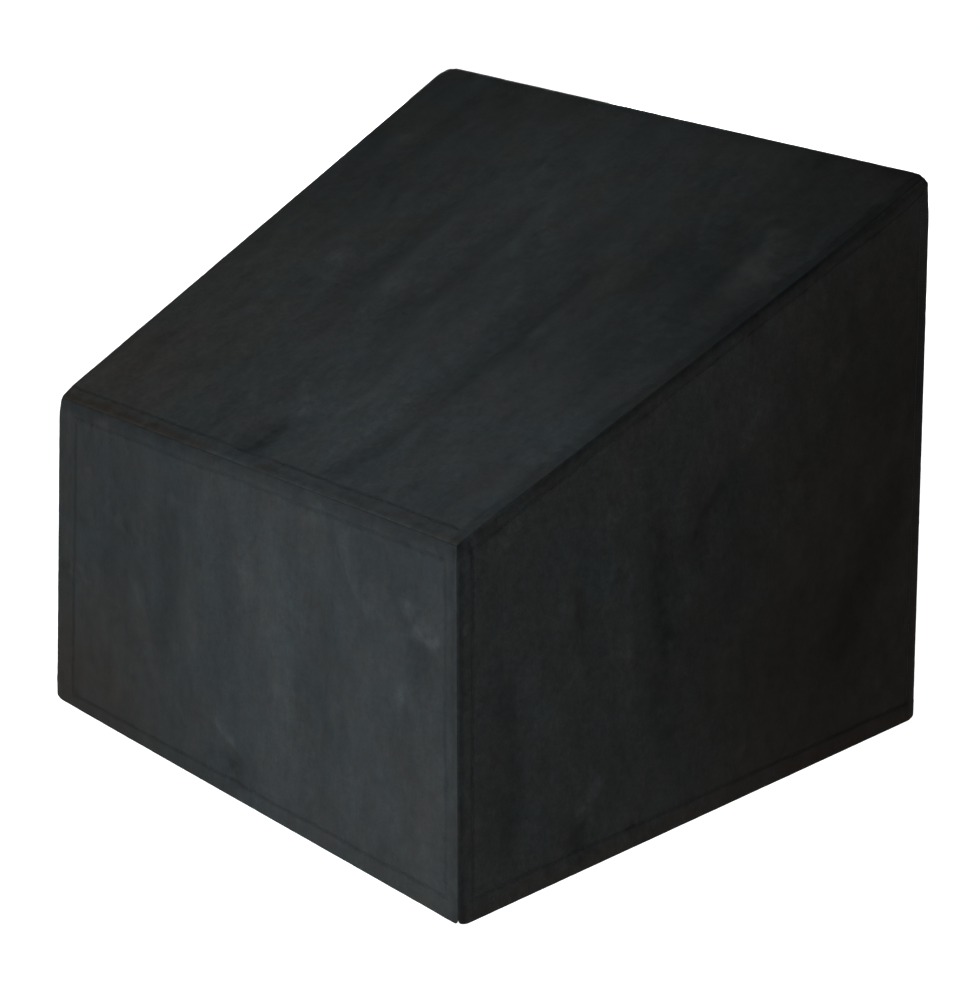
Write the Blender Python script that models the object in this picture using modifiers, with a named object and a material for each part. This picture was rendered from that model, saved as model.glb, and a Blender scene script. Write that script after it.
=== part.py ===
"""Fitted weather cover for one module of a garden sofa, sewn from five panels of coated cloth.

The cover is a hollow wedge, open below: a low front wall, a long top that slopes up to the rear, two
side walls and an upright back wall. The front and side walls lean in a little, and the plan widens
towards the rear. Each panel is a thin sheet that bends over half of each rounded edge and meets its
neighbour at the seam there. Every wall ends at the ground in a hem of doubled cloth, and the front
one rises a little to the right.

Metres. +X is the right-hand side, -Y the front, +Z up. The origin is on the ground, in the middle of
the box that holds the cover.
"""

import math
from collections import namedtuple

import bmesh
import bpy
from mathutils import Vector

# Driving dimensions
FRONT_WIDTH = 0.750
REAR_WIDTH = 0.898
DEPTH = 0.753
FRONT_HEIGHT = 0.433
REAR_HEIGHT = 0.715
FRONT_LEAN = 0.050  # how far the front wall leans in, for each metre of height
SIDE_LEAN = 0.060  # the same for the side walls
FRONT_TILT = 0.0135  # how far the front top edge hangs below level on the left, and rises on the right

# Cloth and sewing
CLOTH = 0.0012
HEM_LAYERS = 2
HEM_DEPTH = 0.025
HEM_STEP = 0.003  # height over which the doubled hem thins to one layer
SEAM_GAP = 0.0011  # between the outer faces of two panels at their seam
FOLDS_START = 0.010  # distance from a seam or the hem at which folds begin to rise
FOLDS_WHOLE = 0.050  # distance at which they have their whole height

CLOTH_ROUGHNESS = 0.72
SHARP_EDGE = math.radians(50)  # the cut edges of the cloth stay sharp, its bends are shaded smooth

# Rounded edges. A row of points lies at each of these distances from a seam.
EDGE_RADIUS = 0.0055
PUSH_ROUNDS = 30  # passes over the planes, enough to settle to well under a micrometre
SEAM_ROWS = (SEAM_GAP, 0.0022, 0.0045, 0.0080, 0.0140, 0.0220)
HEM_ROWS = (0.0, HEM_DEPTH, HEM_DEPTH + HEM_STEP)

LEFT, RIGHT = -1, 1
SIDE_FLARE = (REAR_WIDTH - FRONT_WIDTH) / 2 / DEPTH
FRONT_TOP_Y = -DEPTH / 2 + FRONT_LEAN * FRONT_HEIGHT
SLOPE = (REAR_HEIGHT - FRONT_HEIGHT) / (DEPTH / 2 - FRONT_TOP_Y)


def wedge_corner(side, y, z):
    """The point at y and z on the outer face of one side wall."""
    half_width = FRONT_WIDTH / 2 + SIDE_FLARE * (y + DEPTH / 2) - SIDE_LEAN * z
    return Vector((side * half_width, y, z))


FRONT_LOW = {side: wedge_corner(side, -DEPTH / 2, 0.0) for side in (LEFT, RIGHT)}
FRONT_HIGH = {side: wedge_corner(side, FRONT_TOP_Y, FRONT_HEIGHT) for side in (LEFT, RIGHT)}
REAR_LOW = {side: wedge_corner(side, DEPTH / 2, 0.0) for side in (LEFT, RIGHT)}
REAR_HIGH = {side: wedge_corner(side, DEPTH / 2, REAR_HEIGHT) for side in (LEFT, RIGHT)}

# The plane of each panel: its outward direction and a point on it.
Plane = namedtuple("Plane", "outward point")
FRONT = Plane(Vector((0, -1, FRONT_LEAN)).normalized(), FRONT_LOW[RIGHT])
BACK = Plane(Vector((0, 1, 0)), REAR_LOW[RIGHT])
RIGHT_SIDE = Plane(Vector((1, -SIDE_FLARE, SIDE_LEAN)).normalized(), FRONT_LOW[RIGHT])
LEFT_SIDE = Plane(Vector((-1, -SIDE_FLARE, SIDE_LEAN)).normalized(), FRONT_LOW[LEFT])
TOP = Plane(Vector((0, -SLOPE, 1)).normalized(), FRONT_HIGH[RIGHT])
PLANES = (FRONT, BACK, RIGHT_SIDE, LEFT_SIDE, TOP)

# Stretches where the edges are rounder than EDGE_RADIUS. The extra radius fades out over reach.
Soft = namedtuple("Soft", "start end radius reach")
SOFT_EDGES = (
    Soft(FRONT_HIGH[LEFT], FRONT_HIGH[RIGHT], 0.010, 0.030),
    Soft(REAR_HIGH[LEFT], REAR_HIGH[RIGHT], 0.010, 0.030),
    Soft(FRONT_HIGH[LEFT], FRONT_HIGH[LEFT], 0.012, 0.030),
    Soft(REAR_HIGH[LEFT], REAR_HIGH[LEFT], 0.018, 0.034),
    Soft(REAR_HIGH[RIGHT], REAR_HIGH[RIGHT], 0.015, 0.030),
    Soft(REAR_HIGH[RIGHT], REAR_HIGH[RIGHT].lerp(FRONT_HIGH[RIGHT], 0.12), 0.011, 0.060),
)

# Where the hem rides up at the foot of a vertical seam
Lift = namedtuple("Lift", "foot height reach")
HEM_LIFTS = (
    Lift(FRONT_LOW[LEFT], 0.010, 0.022),
    Lift(FRONT_LOW[RIGHT], 0.009, 0.020),
    Lift(REAR_LOW[LEFT], 0.010, 0.022),
    Lift(REAR_LOW[RIGHT], 0.010, 0.022),
)

# Folds. start and end are places on the panel as seen from outside: shares of its width, from its left
# edge, and of its height, down from its upper edge. width is half a fold's breadth, and rise is how
# far it stands out, below zero for a trough, both in metres.
Fold = namedtuple("Fold", "start end width rise")
FRONT_FOLDS = (
    Fold((0.31, 0.10), (0.31, 0.72), 0.045, -0.0040),
    Fold((0.46, 0.14), (0.47, 0.58), 0.040, -0.0030),
    Fold((0.68, 0.17), (0.69, 0.99), 0.048, -0.0050),
    Fold((0.16, 0.16), (0.18, 0.67), 0.045, -0.0030),
    Fold((0.60, 0.28), (0.60, 0.92), 0.050, 0.0030),
    Fold((0.39, 0.18), (0.39, 0.76), 0.038, 0.0025),
    Fold((0.84, 0.14), (0.81, 0.76), 0.060, 0.0030),
    Fold((0.90, 0.40), (0.98, 0.18), 0.035, -0.0030),
    Fold((0.42, 0.93), (0.55, 0.84), 0.038, -0.0035),
)
TOP_FOLDS = (
    Fold((0.68, 0.33), (0.68, 1.00), 0.042, -0.0055),
    Fold((0.60, 0.50), (0.62, 0.98), 0.050, 0.0035),
    Fold((0.30, 0.22), (0.32, 0.70), 0.050, -0.0040),
    Fold((0.46, 0.26), (0.46, 0.70), 0.042, -0.0035),
    Fold((0.38, 0.36), (0.38, 0.67), 0.038, 0.0030),
    Fold((0.22, 0.31), (0.22, 0.60), 0.045, 0.0025),
    Fold((0.79, 0.14), (0.80, 0.46), 0.045, -0.0030),
    Fold((0.84, 0.20), (0.91, 0.42), 0.040, -0.0030),
    Fold((0.88, 0.26), (0.98, 0.38), 0.040, 0.0035),
    Fold((0.47, 0.86), (0.47, 1.00), 0.038, -0.0035),
)
RIGHT_FOLDS = (
    Fold((0.10, 0.36), (0.11, 0.96), 0.042, -0.0040),
    Fold((0.40, 0.14), (0.40, 0.56), 0.045, -0.0035),
    Fold((0.26, 0.16), (0.25, 0.50), 0.040, -0.0025),
    Fold((0.46, 0.43), (0.60, 0.24), 0.036, -0.0040),
    Fold((0.22, 0.82), (0.25, 0.99), 0.040, -0.0030),
    Fold((0.56, 0.68), (0.85, 0.31), 0.060, 0.0030),
    Fold((0.75, 0.83), (0.96, 0.46), 0.055, -0.0030),
)
LEFT_FOLDS = (
    Fold((0.88, 0.40), (0.87, 0.95), 0.042, -0.0035),
    Fold((0.60, 0.18), (0.61, 0.58), 0.048, -0.0040),
    Fold((0.43, 0.70), (0.17, 0.30), 0.060, 0.0030),
    Fold((0.32, 0.85), (0.12, 0.50), 0.050, -0.0030),
    Fold((0.74, 0.25), (0.75, 0.62), 0.042, 0.0025),
)
BACK_FOLDS = (
    Fold((0.28, 0.16), (0.29, 0.84), 0.060, -0.0045),
    Fold((0.50, 0.10), (0.50, 0.66), 0.052, -0.0035),
    Fold((0.72, 0.18), (0.73, 0.90), 0.058, -0.0050),
    Fold((0.10, 0.08), (0.22, 0.34), 0.042, -0.0030),
    Fold((0.90, 0.08), (0.78, 0.36), 0.042, -0.0030),
)

# corners are lower left, lower right, upper left and upper right, as seen from outside. columns and
# rows are the steps between the rows of points at the seams. hem_rise is how much higher the hem is at
# its right end than at its left.
Panel = namedtuple("Panel", "name corners plane folds columns rows foot_rows hem_rise colour")
PANELS = (
    Panel(
        name="front_panel",
        corners=(FRONT_LOW[LEFT], FRONT_LOW[RIGHT], FRONT_HIGH[LEFT], FRONT_HIGH[RIGHT]),
        plane=FRONT,
        folds=FRONT_FOLDS,
        columns=24,
        rows=9,
        foot_rows=HEM_ROWS,
        hem_rise=0.004,
        colour=(0.034, 0.039, 0.043),
    ),
    Panel(
        name="back_panel",
        corners=(REAR_LOW[RIGHT], REAR_LOW[LEFT], REAR_HIGH[RIGHT], REAR_HIGH[LEFT]),
        plane=BACK,
        folds=BACK_FOLDS,
        columns=18,
        rows=9,
        foot_rows=HEM_ROWS,
        hem_rise=0.0,
        colour=(0.030, 0.034, 0.036),
    ),
    Panel(
        name="side_panel_right",
        corners=(FRONT_LOW[RIGHT], REAR_LOW[RIGHT], FRONT_HIGH[RIGHT], REAR_HIGH[RIGHT]),
        plane=RIGHT_SIDE,
        folds=RIGHT_FOLDS,
        columns=22,
        rows=12,
        foot_rows=HEM_ROWS,
        hem_rise=0.0,
        colour=(0.030, 0.034, 0.036),
    ),
    Panel(
        name="side_panel_left",
        corners=(REAR_LOW[LEFT], FRONT_LOW[LEFT], REAR_HIGH[LEFT], FRONT_HIGH[LEFT]),
        plane=LEFT_SIDE,
        folds=LEFT_FOLDS,
        columns=22,
        rows=12,
        foot_rows=HEM_ROWS,
        hem_rise=0.0,
        colour=(0.030, 0.034, 0.036),
    ),
    Panel(
        name="top_panel",
        corners=(FRONT_HIGH[LEFT], FRONT_HIGH[RIGHT], REAR_HIGH[LEFT], REAR_HIGH[RIGHT]),
        plane=TOP,
        folds=TOP_FOLDS,
        columns=24,
        rows=16,
        foot_rows=SEAM_ROWS,
        hem_rise=0.0,
        colour=(0.032, 0.036, 0.039),
    ),
)


def smooth(share):
    """0 up to share 0 and 1 from share 1, with a gentle start and end."""
    share = min(max(share, 0.0), 1.0)
    return share * share * (3 - 2 * share)


def distance_to_line(point, start, end):
    """How far point is from the stretch between start and end."""
    run = end - start
    share = (point - start).dot(run) / run.length_squared if run.length else 0.0
    return (point - start - run * min(max(share, 0.0), 1.0)).length


def radius_at(point):
    """The radius to which the edges near point are rounded."""
    radius = EDGE_RADIUS
    for soft in SOFT_EDGES:
        away = distance_to_line(point, soft.start, soft.end) / soft.reach
        radius = max(radius, EDGE_RADIUS + (soft.radius - EDGE_RADIUS) * (1 - smooth(away)))
    return radius


def nearest_inside(point, inset):
    """The nearest point to point that lies inset or more inside every plane."""
    pushes = [0.0] * len(PLANES)
    inner = point.copy()
    for _ in range(PUSH_ROUNDS):
        for k, plane in enumerate(PLANES):
            outside = (inner - plane.point).dot(plane.outward) + inset
            push = max(0.0, pushes[k] + outside)
            inner -= plane.outward * (push - pushes[k])
            pushes[k] = push
    return inner


def rounded(point):
    """Moves a point of the sharp-edged wedge onto the wedge with rounded edges."""
    radius = radius_at(point)
    inner = nearest_inside(point, radius)
    return inner + (point - inner).normalized() * radius


def hem_height(panel, point):
    """How high the lower edge of a panel's hem is above the ground at point."""
    left, right = panel.corners[:2]
    height = panel.hem_rise * (point - left).length / (right - left).length
    for lift in HEM_LIFTS:
        away = (point - lift.foot).length / lift.reach
        if away < 1:
            height = max(height, lift.height * (1 - math.sqrt(1 - (1 - away) ** 2)))
    return height


def on_panel(panel, across, down):
    """The point of a flat panel at shares of its width and height."""
    lower_left, lower_right, upper_left, upper_right = panel.corners
    return upper_left.lerp(upper_right, across).lerp(lower_left.lerp(lower_right, across), down)


def fold_rise(panel, fold, point):
    """How far one fold lifts the cloth at a point of the flat panel."""
    start, end = on_panel(panel, *fold.start), on_panel(panel, *fold.end)
    run = end - start
    share = (point - start).dot(run) / run.length_squared
    off = (point - start - run * share).length / fold.width
    ends = abs(2 * share - 1)
    if off >= 1 or ends >= 1:
        return 0.0
    return fold.rise * (1 - off**2) ** 2 * (1 - ends**3)


def relief(panel, point):
    """How far all the folds together lift the cloth, which lies flat along the seams and the hem."""
    lower_left, lower_right, upper_left, upper_right = panel.corners
    rims = (
        (lower_left, upper_left),
        (lower_right, upper_right),
        (upper_left, upper_right),
        (lower_left, lower_right),
    )
    rim = min(distance_to_line(point, start, end) for start, end in rims)
    share = smooth((rim - FOLDS_START) / (FOLDS_WHOLE - FOLDS_START))
    return share * sum(fold_rise(panel, fold, point) for fold in panel.folds)


def stations(low, high, steps):
    """Places along a line, as a share of its length plus metres: close at its ends, even between."""
    places = [(0.0, metres) for metres in low]
    for k in range(1, steps):
        share = k / steps
        places.append((share, low[-1] * (1 - share) - high[-1] * share))
    return places + [(1.0, -metres) for metres in reversed(high)]


def at_station(start, end, station):
    share, metres = station
    run = end - start
    return start + run * share + run.normalized() * metres


def tilt(point):
    """How far the uneven front top edge moves a point up. It fades to the hem and to the rear."""
    share_up = point.z / (FRONT_HEIGHT + SLOPE * (point.y - FRONT_TOP_Y))
    share_across = point.x / (FRONT_WIDTH / 2)
    return FRONT_TILT * share_up * share_across * (0.5 - point.y / DEPTH)


def cloth_point(panel, column, row):
    """One point of a panel's outer face."""
    lower_left, lower_right, upper_left, upper_right = panel.corners
    foot = at_station(lower_left, lower_right, column)
    head = at_station(upper_left, upper_right, column)
    at_ground = foot.z == 0 and row == (0.0, 0.0)
    if at_ground:
        row = (0.0, hem_height(panel, foot))
    point = at_station(foot, head, row)
    shaped = rounded(point) + panel.plane.outward * relief(panel, point)
    if at_ground:
        shaped.z = hem_height(panel, foot)
    shaped.z += tilt(shaped)
    return shaped


def panel_grid(panel):
    """The outer face of a panel as a mesh, and the numbers of the points in its hem."""
    columns = stations(SEAM_ROWS, SEAM_ROWS, panel.columns)
    rows = stations(panel.foot_rows, SEAM_ROWS, panel.rows)
    bm = bmesh.new()
    bmesh.ops.create_grid(bm, x_segments=len(columns) - 1, y_segments=len(rows) - 1, size=1.0)
    for vert in bm.verts:
        column = columns[round((vert.co.x + 1) / 2 * (len(columns) - 1))]
        row = rows[round((vert.co.y + 1) / 2 * (len(rows) - 1))]
        vert.co = cloth_point(panel, column, row)
    bm.normal_update()
    in_hem = [vert.index for vert in bm.verts if vert.co.z < HEM_DEPTH + HEM_STEP / 2]
    mesh = bpy.data.meshes.new(panel.name)
    bm.to_mesh(mesh)
    bm.free()
    return mesh, in_hem


def cloth_material(panel):
    material = bpy.data.materials.new(panel.name)
    material.use_nodes = True
    shader = material.node_tree.nodes["Principled BSDF"]
    shader.inputs["Base Color"].default_value = (*panel.colour, 1.0)
    shader.inputs["Roughness"].default_value = CLOTH_ROUGHNESS
    shader.inputs["Metallic"].default_value = 0.0
    return material


def thickened(obj):
    """The object's mesh with its modifiers applied and the underside of its hem level."""
    evaluated = obj.evaluated_get(bpy.context.evaluated_depsgraph_get())
    mesh = bpy.data.meshes.new_from_object(evaluated)
    for vert in mesh.vertices:
        if vert.co.z < CLOTH / 2:
            vert.co.z = 0.0
    return mesh


def make_panel(panel, collection):
    """A panel: one layer of cloth, doubled in the hem, thickened inwards."""
    mesh, in_hem = panel_grid(panel)
    obj = bpy.data.objects.new(panel.name, mesh)
    collection.objects.link(obj)
    obj.data.materials.append(cloth_material(panel))
    layers = obj.vertex_groups.new(name="layers")
    layers.add(range(len(mesh.vertices)), 1 / HEM_LAYERS, "REPLACE")
    layers.add(in_hem, 1.0, "REPLACE")
    cloth = obj.modifiers.new("cloth", "SOLIDIFY")
    cloth.thickness = CLOTH * HEM_LAYERS
    cloth.offset = -1.0
    cloth.use_even_offset = True
    cloth.vertex_group = layers.name
    solid = thickened(obj)
    obj.modifiers.clear()
    obj.data = solid
    obj.data.shade_smooth()
    obj.data.set_sharp_from_angle(angle=SHARP_EDGE)


def main():
    for obj in list(bpy.data.objects):
        bpy.data.objects.remove(obj, do_unlink=True)
    collection = bpy.data.collections.new("sectional_module_cover")
    bpy.context.scene.collection.children.link(collection)
    for panel in PANELS:
        make_panel(panel, collection)


main()
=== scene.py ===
"""Looks of the fitted weather cover for one module of a garden sofa.

Each of the five packed panels is replaced by the same panel in finer detail. It is cut flat, bent
over the rounded edges of the wedge, and given its turned-in edges, topstitching, folds and creases.
All of it is one coated woven cloth.

Metres, but for the tables of folds and creases. +X is the right-hand side, -Y the front, +Z up.
"""

import math
from collections import namedtuple

import bmesh
import bpy
import numpy as np
from mathutils import Matrix, Vector


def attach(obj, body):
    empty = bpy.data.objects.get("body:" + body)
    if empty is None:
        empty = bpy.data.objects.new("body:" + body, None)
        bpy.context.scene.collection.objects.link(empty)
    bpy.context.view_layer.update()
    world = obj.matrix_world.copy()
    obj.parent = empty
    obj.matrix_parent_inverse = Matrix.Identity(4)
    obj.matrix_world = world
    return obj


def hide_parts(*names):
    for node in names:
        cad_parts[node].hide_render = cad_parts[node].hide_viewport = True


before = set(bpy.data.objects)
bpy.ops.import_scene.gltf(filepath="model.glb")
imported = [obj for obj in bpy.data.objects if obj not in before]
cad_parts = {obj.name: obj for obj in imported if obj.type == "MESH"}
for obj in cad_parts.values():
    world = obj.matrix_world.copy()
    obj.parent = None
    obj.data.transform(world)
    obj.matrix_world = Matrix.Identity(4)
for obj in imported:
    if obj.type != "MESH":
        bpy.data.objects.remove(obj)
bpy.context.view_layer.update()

# The wedge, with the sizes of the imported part
FRONT_WIDTH = 0.750
REAR_WIDTH = 0.898
DEPTH = 0.753
FRONT_HEIGHT = 0.433
REAR_HEIGHT = 0.715
FRONT_LEAN = 0.050  # how far the front wall leans in, for each metre of height
SIDE_LEAN = 0.060
FRONT_TILT = 0.0135  # how far the front top edge is below level on the left, and above it right
SLOPE_SAG = 0.0042  # how far the right-hand slope edge hangs below the straight line
SAG_WHOLE = 0.60  # share of that edge, from the front, at which it first hangs lowest
SAG_ENDS = 0.86  # share of it at which it begins to rise again
SAG_REACH = 0.090  # how far from the edge the cloth sags with it
EDGE_RADIUS = 0.0055
PUSH_ROUNDS = 30  # passes over the planes, enough to settle to well under a micrometre
FOLDS_START = 0.010  # distance from a seam or the hem at which folds begin to rise
FOLDS_WHOLE = 0.050  # distance at which they have their whole height

# Cloth and sewing
CLOTH = 0.0012
EDGE_TURN = 0.93  # share of the turned edge's quarter circle that is modelled, short of its foot
SEAM_GAP = -0.0001  # between a panel's edge and the middle of the rounded edge
TURN_PAST = 0.0040  # how far the turned-in cloth reaches past the line of stitches
HEM_PULL = 0.026  # height over which the cut follows a hem that rides up
TURN_STEP = 0.0020  # distance over which the two layers thin to one
TURN_RISE = 0.0005  # how far the doubled strip stands out
GROOVE_DEPTH = 0.0006
GROOVE_WIDTH = 0.0024
STITCH_PITCH = 0.0036
STITCH_LENGTH = 0.0029
STITCH_WANDER = 0.0007  # how far a line of stitches strays to either side
THREAD_RADIUS = 0.00030
# Along a stitch: share of its length, height above the cloth, and share of the thread's radius
STITCH_STATIONS = (
    (0.0, -0.00035, 0.4),
    (0.25, 0.00010, 1.0),
    (0.75, 0.00010, 1.0),
    (1.0, -0.00035, 0.4),
)
STITCH_SIDES = 5
PUCKER = 0.00035  # height of the small gathers along a line of stitches
PUCKER_LENGTH = 0.017
PUCKER_REACH = 0.013

# The flat cut: its steps, and rows of points at these distances from an edge, from a line of
# stitches, and from the end of the turned-in cloth
CUT_STEP = 0.0066
EDGE_ROWS = (0.0, 0.0003, 0.0008, 0.0014, 0.0024, 0.004, 0.0065, 0.01, 0.014, 0.018, 0.023, 0.029)
GROOVE_ROWS = (-0.0055, -0.0036, -0.0022, -0.0010, 0.0, 0.0010, 0.0022, 0.0036, 0.0055)
TURN_ROWS = (0.0002, 0.0011, 0.0020, 0.0030)
ROW_CLEAR = 0.001  # least distance between the rows of the edge and those of the groove
# Rounds of finer cuts about the creases: how far they reach, as a share of the flank, and the
# widest crease that gets them
CREASE_CUTS = ((1.8, 0.040), (1.1, 0.013))
CREASE_PAST = 0.05  # how far they reach past a crease's ends, as a share of its length
FINE_STEP = 0.0022  # edges of the cut shorter than this aren't divided again

# Unevenness of the cloth between its folds: waves of height metres, whose lengths run from shortest
# to longest. held is the share of them that the sewn edges pull flat.
Swell = namedtuple("Swell", "height count shortest longest held")
SWELLS = (
    Swell(0.00042, 18, 0.090, 0.260, 1.0),
    Swell(0.00016, 40, 0.034, 0.090, 0.7),
    Swell(0.00008, 60, 0.012, 0.034, 0.3),
)
# Other unevenness: how many waves it adds up, and the shortest and the longest of them
CREASE_WAVES = (30, 0.008, 0.030)
STITCH_WAVES = (5, 0.05, 0.23)
PUCKER_WAVES = (4, 0.06, 0.21)
STRIP_WAVES = (9, 0.018, 0.120)

# Shades of the cloth, most of them painted shade and highlight
STRIP_FADE = 0.10  # share of an edge over which a strip that doesn't reach its end fades out
STRIP_RAGGED = 0.20  # how much a strip's breadth varies
PATCH_FALL = 1.5  # how fast a patch fades: at its reach a tenth of it is left
CREASE_TOP = 0.20  # how much of a crease's flank its rounded top takes up
CREASE_BROKEN = 0.45  # how unevenly a crease is tinted along its course
# painted shade in the groove along each line of stitches
GROOVE_SHADE = 0.24
# painted shade in the troughs of the folds, and painted highlight on their ridges
TROUGH_SHADE = 32.0  # share by which each metre of a trough's depth darkens the cloth
RIDGE_HIGHLIGHT = 26.0

# Materials. A cloud is a noise texture whose values are spread from low to high.
Cloud = namedtuple("Cloud", "scale detail roughness low high")
NOISE_RANGE = (0.3, 0.7)  # where the values of a noise texture mostly lie
COOL = (0.0117, 0.0132, 0.0127, 1.0)
WARM = (0.0138, 0.0126, 0.0111, 1.0)
BROWN = (0.0180, 0.0120, 0.0078, 1.0)
HUE = Cloud(14.0, 4.0, 0.7, 0.05, 0.95)  # from COOL to WARM
HEATHER = Cloud(420.0, 2.0, 0.7, -0.55, 0.55)
WARMTH_HUE = 0.4  # how far warmth moves the hue towards WARM, on its way to BROWN
BLOTCHES_PER_METRE = (26.0, 10.0, 1.0)  # across and up a panel, so they are drawn out upwards
BLOTCHES = Cloud(1.0, 6.0, 0.75, 0.80, 1.20)
MOTTLES = (
    Cloud(120.0, 3.0, 0.65, -0.11, 0.11),
    Cloud(330.0, 3.0, 0.65, -0.10, 0.10),
    Cloud(600.0, 3.0, 0.65, -0.05, 0.05),
)
STREAKS_PER_METRE = ((700.0, 50.0, 1.0), (50.0, 700.0, 1.0))  # along the yarns up and across
STREAKS = Cloud(1.0, 2.0, 0.5, 0.96, 1.04)
CLOTH_ROUGHNESS = Cloud(60.0, 3.0, 0.5, 0.52, 0.66)  # the coating is a little shinier in blotches
CLOTH_SPECULAR = 0.02
YARNS_PER_METRE = 900
YARN_HEIGHT = 0.12  # against the wrinkles in the coating
WRINKLES = (140.0, 4.0, 0.6)  # scale, detail and roughness of a noise texture
CLOTH_RELIEF = (0.35, 0.0010)  # strength and distance of a bump
THREAD_COLOUR = (0.010, 0.010, 0.011)
THREAD_FUZZ = Cloud(900.0, 2.0, 0.5, 0.7, 1.3)
THREAD_ROUGHNESS = 0.75
THREAD_SPECULAR = 0.2
TWIST_SCALE = 500.0
TWIST_RELIEF = (0.4, 0.0002)
FLOOR_SIZE = 60.0
FLOOR_COLOUR = (0.30, 0.30, 0.30, 1.0)
FLOOR_ROUGHNESS = Cloud(3.0, 2.0, 0.5, 0.85, 0.95)
FLOOR_SPECULAR = 0.1
FLOOR_GLOW = (1.0, 1.0, 1.0, 1.0)
FLOOR_STRENGTH = 0.99

# Camera. It looks from azimuth and elevation, in degrees, at a point beside AIM_HEIGHT on the axis.
CAMERA_AZIMUTH = 44.655
CAMERA_ELEVATION = 23.060
CAMERA_ROLL = 0.335
CAMERA_DISTANCE = 2.8628
CAMERA_ACROSS = 0.0342
CAMERA_UP = -0.0037
AIM_HEIGHT = 0.2984
SENSOR = 36.0
LENS = 83.53

# Square lamps, and a sky that is pale at the horizon and nearly dark above
Lamp = namedtuple("Lamp", "name place aim size power colour")
LAMPS = (
    Lamp("key", (0.45, -1.70, 1.05), (0.0, 0.0, 0.35), 0.8, 68.0, (0.83, 1.0, 1.17)),
    Lamp("overhead", (0.0, 0.5, 3.5), (0.0, 0.0, 0.0), 2.0, 31.0, (1.0, 1.0, 0.97)),
    Lamp("rear_fill", (-2.2, 2.4, 0.7), (0.0, 0.0, 0.35), 1.6, 120.0, (0.95, 1.0, 1.05)),
)
SKY_LOW = (0.85, 0.85, 0.85, 1.0)
SKY_HIGH = (0.052, 0.05, 0.045, 1.0)
SKY_LOW_END = 0.14  # sine of the height above the horizon at which the sky has darkened

LEFT, RIGHT = -1, 1
SIDE_FLARE = (REAR_WIDTH - FRONT_WIDTH) / 2 / DEPTH
FRONT_TOP_Y = -DEPTH / 2 + FRONT_LEAN * FRONT_HEIGHT
SLOPE = (REAR_HEIGHT - FRONT_HEIGHT) / (DEPTH / 2 - FRONT_TOP_Y)


def unit(vectors):
    return vectors / np.linalg.norm(vectors, axis=-1, keepdims=True)


def wedge_corner(side, y, z):
    """The point at y and z on the outer face of one side wall."""
    half_width = FRONT_WIDTH / 2 + SIDE_FLARE * (y + DEPTH / 2) - SIDE_LEAN * z
    return np.array((side * half_width, y, z))


FRONT_LOW = {side: wedge_corner(side, -DEPTH / 2, 0.0) for side in (LEFT, RIGHT)}
FRONT_HIGH = {side: wedge_corner(side, FRONT_TOP_Y, FRONT_HEIGHT) for side in (LEFT, RIGHT)}
REAR_LOW = {side: wedge_corner(side, DEPTH / 2, 0.0) for side in (LEFT, RIGHT)}
REAR_HIGH = {side: wedge_corner(side, DEPTH / 2, REAR_HEIGHT) for side in (LEFT, RIGHT)}

# The plane of each panel: its outward direction and a point on it.
Plane = namedtuple("Plane", "outward point")
FRONT = Plane(unit(np.array((0.0, -1.0, FRONT_LEAN))), FRONT_LOW[RIGHT])
BACK = Plane(np.array((0.0, 1.0, 0.0)), REAR_LOW[RIGHT])
RIGHT_SIDE = Plane(unit(np.array((1.0, -SIDE_FLARE, SIDE_LEAN))), FRONT_LOW[RIGHT])
LEFT_SIDE = Plane(unit(np.array((-1.0, -SIDE_FLARE, SIDE_LEAN))), FRONT_LOW[LEFT])
TOP = Plane(unit(np.array((0.0, -SLOPE, 1.0))), FRONT_HIGH[RIGHT])
PLANES = (FRONT, BACK, RIGHT_SIDE, LEFT_SIDE, TOP)

# Stretches where the edges are rounder than EDGE_RADIUS. The extra radius fades out over reach.
Soft = namedtuple("Soft", "start end radius reach")
SOFT_SLOPE_END = REAR_HIGH[RIGHT] + (FRONT_HIGH[RIGHT] - REAR_HIGH[RIGHT]) * 0.12
SOFT_EDGES = (
    Soft(FRONT_HIGH[LEFT], FRONT_HIGH[RIGHT], 0.010, 0.030),
    Soft(REAR_HIGH[LEFT], REAR_HIGH[RIGHT], 0.010, 0.030),
    Soft(FRONT_HIGH[LEFT], FRONT_HIGH[LEFT], 0.012, 0.030),
    Soft(REAR_HIGH[LEFT], REAR_HIGH[LEFT], 0.018, 0.034),
    Soft(REAR_HIGH[RIGHT], REAR_HIGH[RIGHT], 0.015, 0.030),
    Soft(REAR_HIGH[RIGHT], SOFT_SLOPE_END, 0.011, 0.060),
)

# Where the hem rides up at the foot of a vertical seam
Lift = namedtuple("Lift", "foot height reach")
HEM_LIFTS = (
    Lift(FRONT_LOW[LEFT], 0.010, 0.022),
    Lift(FRONT_LOW[RIGHT], 0.009, 0.020),
    Lift(REAR_LOW[LEFT], 0.010, 0.022),
    Lift(REAR_LOW[RIGHT], 0.010, 0.022),
)

# Folds. start and end are places on the panel as seen from outside: shares of its width, from its
# left edge, and of its height, down from its upper edge. width is half a fold's breadth, and rise
# is how far it stands out, below zero for a trough.
Fold = namedtuple("Fold", "start end width rise")


def thousandths(values):
    return tuple(value / 1000 for value in values)


def fold_table(*rows):
    """Folds from rows in thousandths of the panel and in millimetres."""
    return tuple(
        Fold(thousandths(row[:2]), thousandths(row[2:4]), *thousandths(row[4:])) for row in rows
    )


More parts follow.
